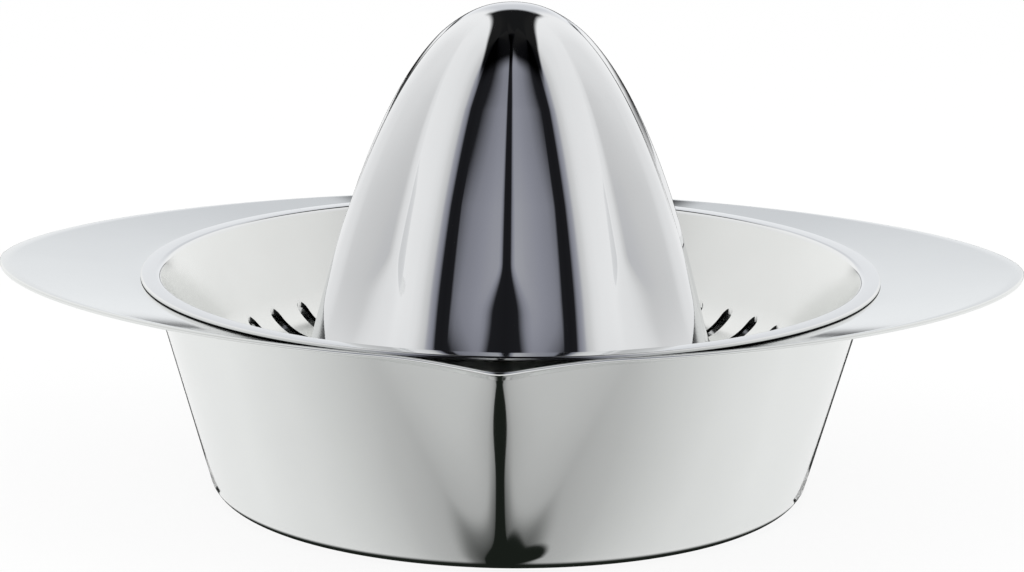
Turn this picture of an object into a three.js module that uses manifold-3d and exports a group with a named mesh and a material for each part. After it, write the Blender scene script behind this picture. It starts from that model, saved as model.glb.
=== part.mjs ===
// Hand citrus squeezer in polished steel sheet, in three pressed pieces.
// The bowl has a pouring spout and a thin oval wing whose two ends are the grips.
// The strainer dish hangs in the bowl by its rim, with a ring of slots in its bottom corner.
// The hollow fluted reamer stands on the strainer's floor and lifts out with it.
// Millimetres, +Z up, spout towards -Y, wing ends along X, origin under the middle of the base.

import * as THREE from 'three';
import { mergeVertices } from 'three/addons/utils/BufferGeometryUtils.js';
import Module from 'manifold-3d';

const wasm = await Module();
wasm.setup();

const DEGREE = Math.PI / 180;
const FULL_TURN = 2 * Math.PI;

// Bowl
const BOWL_SHEET = 0.8;
const RIM_HEIGHT = 38.9;
const MOUTH_RADIUS = 63.1;
const BOWL_WALL_ANGLE = 15.8 * DEGREE;
const FOOT_ROUND = 4;
const MOUTH_ROUND = 1.2;

// Oval wing
const WING_HALF_LENGTH = 90;
const WING_HALF_WIDTH = 67.9;
const WING_POWER = 1.77;
const WING_EDGE_RISE = 0.95;
const WING_TIP_RISE = 0.93;
const WING_RING_SHARES = [0.25, 0.6];
const WING_SEAT_MARGIN = 0.5;

// Pouring spout
const SPOUT_REACH = 7.5;
const SPOUT_HALF_WIDTH = 21;
const SPOUT_FOOT_HALF_WIDTH = 2.5;
const SPOUT_FOOT_HEIGHT = 1.5;
const SPOUT_DROP = 0.6;
const SPOUT_LIP = 1.8;
const SPOUT_LIP_DROP_SHARE = 0.6;
const SPOUT_FLANK_POWER = 1.9;
const KEEL_ROUND_SHARE = 0.24;
const KEEL_LIP_ROUND_SHARE = 0.08;
const KEEL_LIP_SHARES = [0.6, 1];

// Strainer dish
const INSERT_SHEET = 0.7;
const INSERT_CLEARANCE = 0.35;
const RIM_LAP = 1.7;
const RIM_ROUND = 1.2;
const RIM_EDGE_ROUND = 0.3;
const DISH_WALL_ANGLE = 28 * DEGREE;
const DISH_DEPTH = 18.8;
const DISH_CORNER_ROUND = 12;
const DISH_FLOOR_BORDER = 3.32;
const SLOT_COUNT = 44;
const SLOT_WIDTH = 2.1;
const SLOT_CLIMB_SHARE = 0.79;
const SLOT_TO_REAMER = 2;
const SLOT_CUT_MARGIN = 0.7;

// Reamer
const REAMER_HEIGHT = 66.5;
const REAMER_SWELL_POWER = 0.445;
const REAMER_BELLY_SHARE = 0.045;
const REAMER_BELLY_POWER = 3;
const REAMER_FOOT_ROUND = 5;
const REAMER_FLANGE = 1;
const REAMER_SEAT = 2;
const LOBE_COUNT = 8;
const RIDGE_ROUND_SHARES = [0.25, 0.19, 0.19];
const RIDGE_END_DEGREES = [2, 9.5, 12, 14, 14];
const SLOPE_ROUND_SHARE = 1.6;
const VALLEY_ROUND_SHARE = 0.12;
const LOW_VALLEY_ROUND_SHARE = 0.38;
const VALLEY_WIDENS_SHARES = [0.66, 0.8];
const LOBES_START_SHARE = 0.04;
const LOBES_FADE_SHARES = [0.87, 1];

// How finely the curved faces are divided
const BOWL_SEGMENTS = 80;
const DISH_SEGMENTS = 60;
const FRONT_CROWDING_SHARE = 0.2;
const SIDE_CROWDING_SHARE = 0.3;
const SIDE_CROWDING_WAVES = 4;
const VALLEY_STEPS = 2;
const SLOPE_STEPS = 2;
const RIDGE_STEPS = 2;
const REAMER_LEVELS = 14;
const LEVEL_CROWDING_POWER = 1.5;
const SLOT_END_STEPS = 2;
const ARC_STEPS = 4;
const SMALL_ARC_STEPS = 2;
const WALL_SHARES = [0.25, 0.5, 0.75];

const POLISHED_STEEL = { color: 0xd2d4d5, roughness: 0.1, metalness: 1 };
const SATIN_STEEL = { color: 0xc8c9c6, roughness: 0.3, metalness: 1 };

const clamp = THREE.MathUtils.clamp;
const lerp = THREE.MathUtils.lerp;
const smoothstep = THREE.MathUtils.smoothstep;

// Points of an arc in the half plane of radius and height
function arc(centre, radius, from, to, steps) {
  const points = [];
  for (let k = 0; k <= steps; k += 1) {
    const angle = lerp(from, to, k / steps);
    const x = centre.x + radius * Math.cos(angle);
    points.push(new THREE.Vector2(x, centre.y + radius * Math.sin(angle)));
  }
  return points;
}

function between(from, to, shares) {
  return shares.map((share) => new THREE.Vector2().lerpVectors(from, to, share));
}

// Turns a profile of radius and height about +Z, then moves each point by the given rule
function turned(profile, segments, rule) {
  const geometry = new THREE.LatheGeometry(profile, segments);
  const position = geometry.attributes.position;
  for (let k = 0; k < position.count; k += 1) {
    const segment = Math.floor(k / profile.length) % segments;
    const place = rule(segment / segments, profile[k % profile.length], k % profile.length, segment);
    position.setXYZ(k, place.x, place.y, place.z);
  }
  geometry.deleteAttribute('normal');
  geometry.deleteAttribute('uv');
  return mergeVertices(geometry);
}

function solid(geometry) {
  const bare = geometry.clone();
  bare.deleteAttribute('normal');
  bare.deleteAttribute('uv');
  const merged = mergeVertices(bare);
  const vertProperties = new Float32Array(merged.attributes.position.array);
  const triVerts = new Uint32Array(merged.index.array);
  return new wasm.Manifold(new wasm.Mesh({ numProp: 3, vertProperties, triVerts }));
}

function geometryOf(manifold) {
  const mesh = manifold.getMesh();
  const geometry = new THREE.BufferGeometry();
  geometry.setAttribute('position', new THREE.BufferAttribute(mesh.vertProperties, 3));
  geometry.setIndex(new THREE.BufferAttribute(mesh.triVerts, 1));
  return geometry;
}

function named(name, geometry, look) {
  geometry.computeVertexNormals();
  const mesh = new THREE.Mesh(geometry, new THREE.MeshStandardMaterial(look));
  mesh.name = name;
  return mesh;
}

// Outer face of the bowl's wall, and its inner face, as radius at a height
function bowlOuterRadius(z) {
  return MOUTH_RADIUS - (RIM_HEIGHT - z) * Math.tan(BOWL_WALL_ANGLE);
}

function bowlInnerRadius(z) {
  return bowlOuterRadius(z) - BOWL_SHEET / Math.cos(BOWL_WALL_ANGLE);
}

const mouthCentre = new THREE.Vector2(
  bowlInnerRadius(RIM_HEIGHT - MOUTH_ROUND) + MOUTH_ROUND / Math.cos(BOWL_WALL_ANGLE),
  RIM_HEIGHT - MOUTH_ROUND,
);

// The strainer's rim lies on the flat ring of the wing inside the seat radius
const rimRadius = MOUTH_RADIUS + RIM_LAP;
const seatRadius = rimRadius + WING_SEAT_MARGIN;

// Section of the bowl as if its wing were round and it had no spout
function bowlProfile() {
  const footHeight = FOOT_ROUND * (1 - Math.sin(BOWL_WALL_ANGLE));
  const footCentre = new THREE.Vector2(
    bowlOuterRadius(footHeight) - FOOT_ROUND * Math.cos(BOWL_WALL_ANGLE),
    FOOT_ROUND,
  );
  const down = -Math.PI / 2;
  const wallward = -BOWL_WALL_ANGLE;
  const mouthward = Math.PI - BOWL_WALL_ANGLE;
  const up = Math.PI / 2;
  const outerFoot = arc(footCentre, FOOT_ROUND, down, wallward, ARC_STEPS);
  const innerFoot = arc(footCentre, FOOT_ROUND - BOWL_SHEET, wallward, down, ARC_STEPS);
  const outerMouth = arc(mouthCentre, MOUTH_ROUND - BOWL_SHEET, mouthward, up, SMALL_ARC_STEPS);
  const innerMouth = arc(mouthCentre, MOUTH_ROUND, up, mouthward, SMALL_ARC_STEPS + 1);
  const nose = BOWL_SHEET / 2;
  const noseCentre = new THREE.Vector2(WING_HALF_WIDTH - nose, RIM_HEIGHT - nose);
  const edge = arc(noseCentre, nose, down, up, SMALL_ARC_STEPS);
  const seatOuter = new THREE.Vector2(seatRadius, RIM_HEIGHT - BOWL_SHEET);
  const seatInner = new THREE.Vector2(seatRadius, RIM_HEIGHT);
  return [
    new THREE.Vector2(0, 0),
    ...outerFoot,
    ...between(outerFoot.at(-1), outerMouth[0], WALL_SHARES),
    ...outerMouth,
    seatOuter,
    ...between(seatOuter, edge[0], WING_RING_SHARES),
    ...edge,
    ...between(seatInner, edge.at(-1), WING_RING_SHARES).reverse(),
    seatInner,
    ...innerMouth,
    ...between(innerMouth.at(-1), innerFoot[0], WALL_SHARES),
    ...innerFoot,
    new THREE.Vector2(0, BOWL_SHEET),
  ];
}

// Angle from the spout, with the segments crowded at the spout and at the wing's ends
function crowded(share) {
  const angle = share * FULL_TURN;
  const front = FRONT_CROWDING_SHARE * Math.sin(2 * angle) * (1 + Math.cos(angle)) / 2;
  const sides = SIDE_CROWDING_SHARE * Math.sin(SIDE_CROWDING_WAVES * angle) / SIDE_CROWDING_WAVES;
  return angle - front - sides;
}

function wingRadius(angle) {
  const along = Math.abs(Math.sin(angle)) / WING_HALF_LENGTH;
  const across = Math.abs(Math.cos(angle)) / WING_HALF_WIDTH;
  return (along ** WING_POWER + across ** WING_POWER) ** (-1 / WING_POWER);
}

// How far a profile point lies between the seat and the rounded edge of the wing
function beyondSeatShare(radius) {
  return clamp((radius - seatRadius) / (WING_HALF_WIDTH - BOWL_SHEET / 2 - seatRadius), 0, 1);
}

function wingwardRadius(radius, angle) {
  if (radius <= seatRadius) return radius;
  const share = beyondSeatShare(radius);
  if (share === 1) return wingRadius(angle) - WING_HALF_WIDTH + radius;
  return lerp(seatRadius, wingRadius(angle) - BOWL_SHEET / 2, share);
}

// How strongly the spout shows at a sideways place, from 1 on its keel to 0 beside it.
// The keel is round on the wall and sharper at the lip.
function spoutShare(x, climb) {
  const half = lerp(SPOUT_FOOT_HALF_WIDTH, SPOUT_HALF_WIDTH, climb);
  const aside = Math.abs(x) / half;
  if (aside >= 1) return 0;
  const keel = lerp(KEEL_ROUND_SHARE, KEEL_LIP_ROUND_SHARE, smoothstep(climb, ...KEEL_LIP_SHARES));
  const soft = Math.hypot(aside, keel) - keel;
  const whole = Math.hypot(1, keel) - keel;
  return (1 - soft / whole) ** SPOUT_FLANK_POWER;
}

function bowlRule(share, point) {
  const angle = crowded(share);
  const radius = wingwardRadius(point.x, angle);
  const x = radius * Math.sin(angle);
  const y = -radius * Math.cos(angle);
  const endShare = wingRadius(angle) * Math.sin(angle) / WING_HALF_LENGTH;
  const edgeRise = WING_EDGE_RISE + WING_TIP_RISE * endShare ** 2;
  const z = point.y + edgeRise * beyondSeatShare(point.x);
  if (y >= 0) return new THREE.Vector3(x, y, z);
  const climb = clamp((point.y - SPOUT_FOOT_HEIGHT) / (RIM_HEIGHT - SPOUT_FOOT_HEIGHT), 0, 1);
  const strength = spoutShare(x, climb);
  const flange = clamp((point.x - mouthCentre.x) / (WING_HALF_WIDTH - mouthCentre.x), 0, 1);
  const lipReach = MOUTH_RADIUS + SPOUT_REACH + SPOUT_LIP - WING_HALF_WIDTH;
  const reach = lerp(SPOUT_REACH * climb, lipReach, flange);
  const drop = SPOUT_DROP * climb ** 2 * (1 + SPOUT_LIP_DROP_SHARE * flange);
  return new THREE.Vector3(x, y - reach * strength, z - drop * strength);
}

// Strainer dish
const dishTopRadius = bowlInnerRadius(RIM_HEIGHT) - INSERT_CLEARANCE;
const floorHeight = RIM_HEIGHT - DISH_DEPTH;

function dishOuterRadius(z) {
  return dishTopRadius - (RIM_HEIGHT - z) * Math.tan(DISH_WALL_ANGLE);
}

function dishInnerRadius(z) {
  return dishOuterRadius(z) - INSERT_SHEET / Math.cos(DISH_WALL_ANGLE);
}

const cornerTopHeight = floorHeight + DISH_CORNER_ROUND * (1 - Math.sin(DISH_WALL_ANGLE));
const cornerCentre = new THREE.Vector2(
  dishInnerRadius(cornerTopHeight) - DISH_CORNER_ROUND * Math.cos(DISH_WALL_ANGLE),
  floorHeight + DISH_CORNER_ROUND,
);

// A flat border of the floor stays free between the reamer's flange and the dish's corner
const reamerFlangeRadius = cornerCentre.x - DISH_FLOOR_BORDER;
const reamerFootRadius = reamerFlangeRadius - REAMER_FLANGE - REAMER_FOOT_ROUND;
const dishHoleRadius = reamerFlangeRadius - REAMER_SEAT;

function dishProfile() {
  const rimTop = RIM_HEIGHT + INSERT_SHEET;
  const bendHeight = rimTop - RIM_ROUND;
  const bendCentre = new THREE.Vector2(
    dishInnerRadius(bendHeight) + RIM_ROUND / Math.cos(DISH_WALL_ANGLE),
    bendHeight,
  );
  const down = -Math.PI / 2;
  const wallward = -DISH_WALL_ANGLE;
  const mouthward = Math.PI - DISH_WALL_ANGLE;
  const up = Math.PI / 2;
  const edgeCentre = new THREE.Vector2(rimRadius - RIM_EDGE_ROUND, rimTop - RIM_EDGE_ROUND);
  const cornerOuter = DISH_CORNER_ROUND + INSERT_SHEET;
  const profile = [
    new THREE.Vector2(dishHoleRadius, floorHeight - INSERT_SHEET),
    ...arc(cornerCentre, cornerOuter, down, wallward, ARC_STEPS),
    ...arc(bendCentre, RIM_ROUND - INSERT_SHEET, mouthward, up, SMALL_ARC_STEPS),
    new THREE.Vector2(rimRadius, RIM_HEIGHT),
    ...arc(edgeCentre, RIM_EDGE_ROUND, 0, up, SMALL_ARC_STEPS),
    ...arc(bendCentre, RIM_ROUND, up, mouthward, SMALL_ARC_STEPS + 1),
    ...arc(cornerCentre, DISH_CORNER_ROUND, wallward, down, ARC_STEPS),
    new THREE.Vector2(dishHoleRadius, floorHeight),
  ];
  profile.push(profile[0].clone());
  return profile;
}

function roundRule(share, point) {
  const angle = share * FULL_TURN;
  return new THREE.Vector3(point.x * Math.sin(angle), -point.x * Math.cos(angle), point.y);
}

// One punched slot, standing up through the dish's bottom corner
function slotCutter(angle) {
  const half = SLOT_WIDTH / 2;
  const inner = reamerFlangeRadius + SLOT_TO_REAMER + half;
  const outer = cornerCentre.x + DISH_CORNER_ROUND * SLOT_CLIMB_SHARE - half;
  const shape = new THREE.Shape();
  shape.absarc(outer, 0, half, -Math.PI / 2, Math.PI / 2, false);
  shape.absarc(inner, 0, half, Math.PI / 2, Math.PI * 3 / 2, false);
  const below = floorHeight - INSERT_SHEET - SLOT_CUT_MARGIN;
  const depth = cornerTopHeight - below;
  const options = { depth, bevelEnabled: false, curveSegments: SLOT_END_STEPS };
  const geometry = new THREE.ExtrudeGeometry(shape, options);
  geometry.translate(0, 0, below);
  geometry.rotateZ(angle);
  return solid(geometry);
}

function slottedDish() {
  let cut = solid(turned(dishProfile(), DISH_SEGMENTS, roundRule));
  for (let k = 0; k < SLOT_COUNT; k += 1) {
    cut = cut.subtract(slotCutter(k * FULL_TURN / SLOT_COUNT));
  }
  return geometryOf(cut);
}

// Reamer: level 0 is the tip and level 1 the top of the foot's round
const halfLobe = Math.PI / LOBE_COUNT;
const stepsPerHalf = VALLEY_STEPS + SLOPE_STEPS + RIDGE_STEPS;
const reamerTop = floorHeight + REAMER_HEIGHT;
const reamerWallHeight = REAMER_HEIGHT - INSERT_SHEET - REAMER_FOOT_ROUND;

function alongLevels(values, level) {
  const place = level * (values.length - 1);
  const low = Math.min(Math.floor(place), values.length - 2);
  return lerp(values[low], values[low + 1], place - low);
}

function outward(angle) {
  return new THREE.Vector2(Math.sin(angle), Math.cos(angle));
}

// Points of an arc, given the directions of its normal at its two ends
function normalArc(centre, radius, from, to, steps) {
  const points = [];
  for (let k = 0; k <= steps; k += 1) {
    points.push(centre.clone().addScaledVector(outward(lerp(from, to, k / steps)), radius));
  }
  return points;
}

// Half of one lobe, from the middle of a valley to the top of a ridge, for a ridge radius of 1.
// A hollow arc in the valley runs smoothly into a flat arc on the slope and a tight one on the ridge.
function halfLobePoints(level) {
  const ridgeRound = alongLevels(RIDGE_ROUND_SHARES, level);
  const widening = smoothstep(level, ...VALLEY_WIDENS_SHARES);
  const valleyRound = lerp(VALLEY_ROUND_SHARE, LOW_VALLEY_ROUND_SHARE, widening);
  const bothRounds = SLOPE_ROUND_SHARE + valleyRound;
  const ridgeEnd = alongLevels(RIDGE_END_DEGREES, level) * DEGREE;
  const ridgeCentre = outward(halfLobe).multiplyScalar(1 - ridgeRound);
  const inset = ridgeRound - SLOPE_ROUND_SHARE;
  const slopeCentre = ridgeCentre.clone().addScaledVector(outward(-ridgeEnd), inset);
  const lean = Math.asin(slopeCentre.x / bothRounds);
  const valleyCentre = slopeCentre.clone().addScaledVector(outward(-lean), bothRounds);
  const points = [
    ...normalArc(valleyCentre, -valleyRound, 0, -lean, VALLEY_STEPS),
    ...normalArc(slopeCentre, SLOPE_ROUND_SHARE, -lean, -ridgeEnd, SLOPE_STEPS).slice(1, -1),
    ...normalArc(ridgeCentre, ridgeRound, -ridgeEnd, halfLobe, RIDGE_STEPS),
  ];
  return points.map((point) => ({ angle: Math.atan2(point.x, point.y), radius: point.length() }));
}

// Outline of the reamer at a level: angle from the spout and radius of each point round it
function reamerRing(level) {
  const ridgeRound = alongLevels(RIDGE_ROUND_SHARES, level);
  const sideLobe = Math.cos(halfLobe);
  const belly = 1 + REAMER_BELLY_SHARE * (1 - level ** REAMER_BELLY_POWER);
  const sideRadius = reamerFootRadius * belly * level ** REAMER_SWELL_POWER;
  const ridgeRadius = sideRadius / (sideLobe + (1 - sideLobe) * ridgeRound);
  const plainTip = 1 - smoothstep(level, 0, LOBES_START_SHARE);
  const plain = Math.max(plainTip, smoothstep(level, ...LOBES_FADE_SHARES));
  const half = halfLobePoints(level);
  const ring = [];
  for (let lobe = 0; lobe < LOBE_COUNT; lobe += 1) {
    const middle = 2 * halfLobe * lobe;
    for (let k = 0; k < 2 * stepsPerHalf; k += 1) {
      const mirrored = k > stepsPerHalf;
      const point = half[mirrored ? 2 * stepsPerHalf - k : k];
      const lobeAngle = mirrored ? 2 * halfLobe - point.angle : point.angle;
      const angle = lerp(lobeAngle, halfLobe * k / stepsPerHalf, plain);
      const radius = lerp(point.radius * ridgeRadius, sideRadius, plain);
      ring.push({ angle: middle + angle, radius });
    }
  }
  return ring;
}

function reamerWall() {
  const rows = [];
  for (let k = 0; k <= REAMER_LEVELS; k += 1) {
    const level = (k / REAMER_LEVELS) ** LEVEL_CROWDING_POWER;
    const z = reamerTop - reamerWallHeight * level;
    const row = reamerRing(level).map(({ angle, radius }) => (
      new THREE.Vector3(radius * Math.sin(angle), -radius * Math.cos(angle), z)
    ));
    rows.push(row);
  }
  return rows;
}

// Inner face of the wall: each point of the outer face moved in by the sheet along its normal
function insideOf(rows) {
  const count = rows[0].length;
  return rows.map((row, level) => row.map((point, k) => {
    if (level === 0) return point.clone().setZ(point.z - INSERT_SHEET);
    const above = rows[level - 1][k];
    const below = rows[Math.min(level + 1, rows.length - 1)][k];
    const around = row[(k + 1) % count].clone().sub(row[(k + count - 1) % count]);
    const normal = around.cross(new THREE.Vector3().subVectors(above, below)).normalize();
    return point.clone().addScaledVector(normal, -INSERT_SHEET);
  }));
}

// Foot of the reamer: the round into its flange, in rings that follow the last row's angles
function footRows(angles, profile) {
  return profile.map((point) => angles.map((angle) => (
    new THREE.Vector3(point.x * Math.sin(angle), -point.x * Math.cos(angle), point.y)
  )));
}

function reamerGeometry() {
  const outer = reamerWall();
  const inner = insideOf(outer).filter((row, k) => k % 2 === 0 || k === REAMER_LEVELS).reverse();
  const angles = reamerRing(1).map((point) => point.angle);
  const footTop = floorHeight + INSERT_SHEET;
  const footCentre = new THREE.Vector2(reamerFootRadius + REAMER_FOOT_ROUND, footTop + REAMER_FOOT_ROUND);
  const innerRound = REAMER_FOOT_ROUND + INSERT_SHEET;
  const bottom = Math.PI * 3 / 2;
  const outerFoot = arc(footCentre, REAMER_FOOT_ROUND, Math.PI, bottom, SMALL_ARC_STEPS + 1).slice(1);
  const innerFoot = arc(footCentre, innerRound, bottom, Math.PI, SMALL_ARC_STEPS + 1).slice(0, -1);
  const foot = footRows(angles, [
    ...outerFoot,
    new THREE.Vector2(reamerFlangeRadius, footTop),
    new THREE.Vector2(reamerFlangeRadius, floorHeight),
    ...innerFoot,
  ]);
  const rows = [...outer, ...foot, ...inner];
  const blank = rows.map((row, k) => {
    const onAxis = k === 0 || k === rows.length - 1;
    return new THREE.Vector2(onAxis ? 0 : Math.hypot(row[0].x, row[0].y), row[0].z);
  });
  const place = (share, point, k, segment) => rows[rows.length - 1 - k][segment];
  return turned(blank.reverse(), angles.length, place);
}

const insert = new THREE.Group();
insert.add(named('strainer', slottedDish(), SATIN_STEEL));
insert.add(named('reamer', reamerGeometry(), POLISHED_STEEL));

const squeezer = new THREE.Group();
squeezer.add(named('bowl', turned(bowlProfile(), BOWL_SEGMENTS, bowlRule), POLISHED_STEEL));
squeezer.add(insert);

export default squeezer;
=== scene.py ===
"""Hand citrus squeezer in polished steel on a pale studio floor."""

import math

import bmesh
import bpy
import numpy as np
from mathutils import Matrix, Vector


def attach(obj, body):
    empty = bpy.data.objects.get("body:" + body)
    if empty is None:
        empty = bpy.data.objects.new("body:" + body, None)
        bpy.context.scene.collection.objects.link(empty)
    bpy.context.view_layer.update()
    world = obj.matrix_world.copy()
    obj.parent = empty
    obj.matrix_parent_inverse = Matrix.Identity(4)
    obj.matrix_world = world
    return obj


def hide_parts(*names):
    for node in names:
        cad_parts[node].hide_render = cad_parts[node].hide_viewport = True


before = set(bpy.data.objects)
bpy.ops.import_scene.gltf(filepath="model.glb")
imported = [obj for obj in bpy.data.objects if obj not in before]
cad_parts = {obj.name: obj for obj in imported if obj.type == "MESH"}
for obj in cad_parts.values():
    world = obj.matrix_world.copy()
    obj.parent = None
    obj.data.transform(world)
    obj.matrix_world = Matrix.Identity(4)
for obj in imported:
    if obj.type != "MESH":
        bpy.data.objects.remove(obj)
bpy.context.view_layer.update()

MM = 0.001
TURN = 2 * math.pi
TINY = 1e-9
MERGE_DISTANCE = 0.0001 * MM

# Bowl and wing, in millimetres
BOWL_SHEET = 0.8
RIM_HEIGHT = 38.9
MOUTH_RADIUS = 63.1
BOWL_WALL_ANGLE = math.radians(15.8)
FOOT_ROUND = 4.0
MOUTH_ROUND = 1.2
WING_HALF_LENGTH = 90.0
WING_HALF_WIDTH = 67.9
WING_POWER = 1.77
WING_EDGE_RISE = 0.95
WING_TIP_RISE = 0.93
WING_SEAT_MARGIN = 0.5

# Spout
SPOUT_REACH = 7.5
SPOUT_HALF_WIDTH = 21.0
SPOUT_FOOT_HALF_WIDTH = 2.5
SPOUT_FOOT_HEIGHT = 1.5
SPOUT_DROP = 0.6
SPOUT_LIP = 1.8
SPOUT_LIP_DROP_SHARE = 0.6
SPOUT_FLANK_POWER = 1.9
KEEL_ROUND_SHARE = 0.24
KEEL_LIP_ROUND_SHARE = 0.08
KEEL_LIP_SHARES = (0.6, 1)

# Strainer dish
INSERT_SHEET = 0.7
INSERT_CLEARANCE = 0.35
RIM_LAP = 1.7
RIM_ROUND = 1.2
RIM_EDGE_ROUND = 0.3
DISH_WALL_ANGLE = math.radians(28)
DISH_DEPTH = 18.8
DISH_CORNER_ROUND = 12.0
DISH_FLOOR_BORDER = 3.32
SLOT_COUNT = 44
SLOT_WIDTH = 2.4
SLOT_CLIMB_SHARE = 0.79
SLOT_TO_REAMER = 2.0
SLOT_CUT_MARGIN = 0.7
# Height of the rim's lower edge that is coloured near black as painted shade
PAINTED_SHADE_EDGE_HEIGHT = 0.2
RIM_POLISH_DEPTH = 0.9

# Reamer
REAMER_HEIGHT = 66.5
REAMER_SWELL_POWER = 0.445
REAMER_BELLY_SHARE = 0.045
REAMER_BELLY_POWER = 3
REAMER_FOOT_ROUND = 5.0
REAMER_FLANGE = 1.0
REAMER_SEAT = 2.0
LOBE_COUNT = 8
RIDGE_ROUND_SHARES = (0.5, 0.25, 0.19, 0.185, 0.16)
RIDGE_END_ANGLES = (2, 7.5, 12, 14, 14)
SLOPE_ROUND_SHARE = 1.6
VALLEY_ROUND_SHARE = 0.12
LOW_VALLEY_ROUND_SHARE = 0.38
VALLEY_WIDENS_SHARES = (0.66, 0.8)
LOBES_START_SHARE = 0.1
FOOT_FLARE = 0.3
FOOT_FLARE_START_SHARE = 0.78
FOOT_FILL_SHARE = 0.45
FOOT_FILL_START_SHARE = 0.72
FOOT_LEAN = 0.35
FOOT_LIFT_ANGLES = (6.5, 3)
FOOT_LIFT_SHARES = (0.72, 0.84, 1)

# How finely the visual meshes are divided
BOWL_SEGMENTS = 560
BASE_RINGS = 6
FRONT_CROWDING_SHARE = 0.35
DISH_SEGMENTS = 352
DISH_WALL_STEPS = 4
ARC_STEPS = 14
SMALL_ARC_STEPS = 8
EDGE_STEPS = 4
WALL_STEPS = 36
WING_STEPS = 12
LOBE_VALLEY_STEPS = 8
LOBE_SLOPE_STEPS = 6
LOBE_RIDGE_STEPS = 10
REAMER_LEVELS = 150
INNER_STRIDE = 3
SLOT_END_STEPS = 8

# How a face of the slotted dish is told from a slot's face, and a bend from an edge
SHARP_COSINE = 0.8
NORMAL_WEIGHT = 2
CUT_NORMAL_GAP = 0.3

# Steel: noise scales are per metre
RING_SCALE = 2600
RING_DETAIL = 3
RING_TURN_SHARE = 0.004
SMEAR_SCALE = 38
SMEAR_DETAIL = 5
SMEAR_ROUGHNESS = 0.6
SMEAR_SPAN = (0.3, 0.75)
SMEAR_TINT = 0.94
PIT_SCALE = 900
PIT_DETAIL = 4
RELIEF_DEPTH = 0.02 * MM
EDGE_POINTINESS = (0.53, 0.62)
EDGE_WEAR = 0.08

# Studio, in metres. Its angles are in degrees: turn is from straight in front, climb is from the floor up,
# and aside is from the upright plane through the spout
FLOOR_HALF = 4.0
FLOOR_COLOUR = (0.93, 0.93, 0.93)
FLOOR_GLOW_SHARE = 0.88
WORLD_LEVEL = 0.9
WORLD_SEEN_EXTRA = 0.1
LAMP_PLACE = (1.0, -0.2, 0.9)
LAMP_TARGET = (0, 0, 0.03)
LAMP_SIZE = 0.9
LAMP_POWER = 4.0

# Light tent: how bright its wall is at each turn, and where it is open and so dark
TENT_RADIUS = 2.5
TENT_LOW_CLIMB = -2
TENT_RINGS = 40
TENT_SEGMENTS = 72
TENT_MARKS = [(0, 0.012), (18, 0.014), (24, 0.17), (28, 0.26), (34, 0.32), (40, 0.38), (44, 0.45),
              (50, 0.62), (57, 0.69), (65, 0.74), (77, 0.84), (90, 0.9), (110, 0.93), (130, 0.99),
              (150, 1.04)]
TENT_SHADE_TINT = (0.95, 0.97, 1.13)
TENT_TINT_TURNS = (30, 56)
TENT_BACK_LOW = (0.95, 0.965, 0.99)
TENT_BACK_HIGH = (0.735, 0.75, 0.785)
TENT_BACK_CLIMBS = (6, 26)
TENT_BACK_TURNS = (160, 172)
OPEN_FRONT_CLIMBS = (57, 68)
OPEN_BACK_TURNS = (90, 100)
OPEN_BACK_CLIMBS = (37, 44)
OPEN_ASIDE = (13, 18)
HORIZON_TURNS = (142, 160)
HORIZON_CLIMBS = (2, 6)
OPEN_DARKNESS = 0.985

# Painted shade: dark sheets that lie just above the floor and show only in reflections, standing in for
# shadow and shade on the floor round the bowl. Marks are of turn and cover, and the front shade's turns are
# told from its apex, a point in front of the axis
STAGE_LIFT = 0.0003
SHADE_COLOUR = (0.012, 0.015, 0.012)
HALF_TURN = 180
ALL_ROUND = [(0, 1), (HALF_TURN, 1)]
FRONT_SHADE_MARKS = [(0, 1), (12, 1), (17, 0.74), (34, 0.52), (52, 0.42), (84, 0.12), (104, 0)]
FRONT_SHADE_REACH = (0.0506, 0.3)
FRONT_SHADE_HALF_ANGLE = 104
FRONT_SHADE_APEX = 0.044
FRONT_SHADE_FADE = (0.09, 0.16)
CONTACT_SHADE_REACH = (0.04, 0.0528)
CONTACT_SHADE_FADE = (0.0518, 0.0528)
CONTACT_SHADE_LIFT = 1.5 * STAGE_LIFT
SECTOR_STEPS = 90
NEAR_COVER = 0.2
NEAR_REACH = (0.012, 0.030)
NEAR_TURNS = (25, 38)
KEEL_TURNS = (13, 17)
KEEL_WIDENING = math.radians(8)
KEEL_WIDENING_REACH = (0.022, 0.036)
KEEL_NARROWING_REACH = (0.038, 0.043)
SIDE_SHADE = [(0.049, -0.012), (0.053, -0.012), (0.114, 0.17), (0.135, 0.4), (0.185, 0.6), (0.74, 2.4),
              (0, 2.4), (0, 0.6)]
SIDE_SHADE_COLOUR = (0.02, 0.022, 0.02)
FOOT_SHADE_PLACE = (0.0035, -0.0544, 2 * STAGE_LIFT)
FOOT_SHADE_HALVES = (0.0058, 0.0021)
FOOT_SHADE_TURN = math.radians(-22)
FOOT_SHADE_CARD_SHARE = 1.2
FOOT_SHADE_FADE_SHARES = (0.8, 1.15)

# Camera at the photograph's viewing angle, in metres, millimetres of lens and shares of the frame
CAMERA_PLACE = (0.01329, -0.58571, 0.16948)
CAMERA_LENS = 119.84
CAMERA_SENSOR_WIDTH = 36
CAMERA_SHIFT = (0.00131, -0.01987)
CAMERA_TURN = math.radians(1.3)
CAMERA_DIP = math.radians(12.4628)
CAMERA_ROLL = math.radians(0.6175)


def smoothstep(value, low, high):
    t = np.clip((value - low) / (high - low), 0, 1)
    return t * t * (3 - 2 * t)


def lerp(a, b, t):
    return a + (b - a) * t


def arc(cx, cz, radius, start, end, steps):
    angles = np.linspace(start, end, steps + 1)
    return [(cx + radius * math.cos(a), cz + radius * math.sin(a)) for a in angles]


def line(start, end, steps):
    """Points strictly between two points."""
    shares = [k / steps for k in range(1, steps)]
    return [(lerp(start[0], end[0], share), lerp(start[1], end[1], share)) for share in shares]


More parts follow.
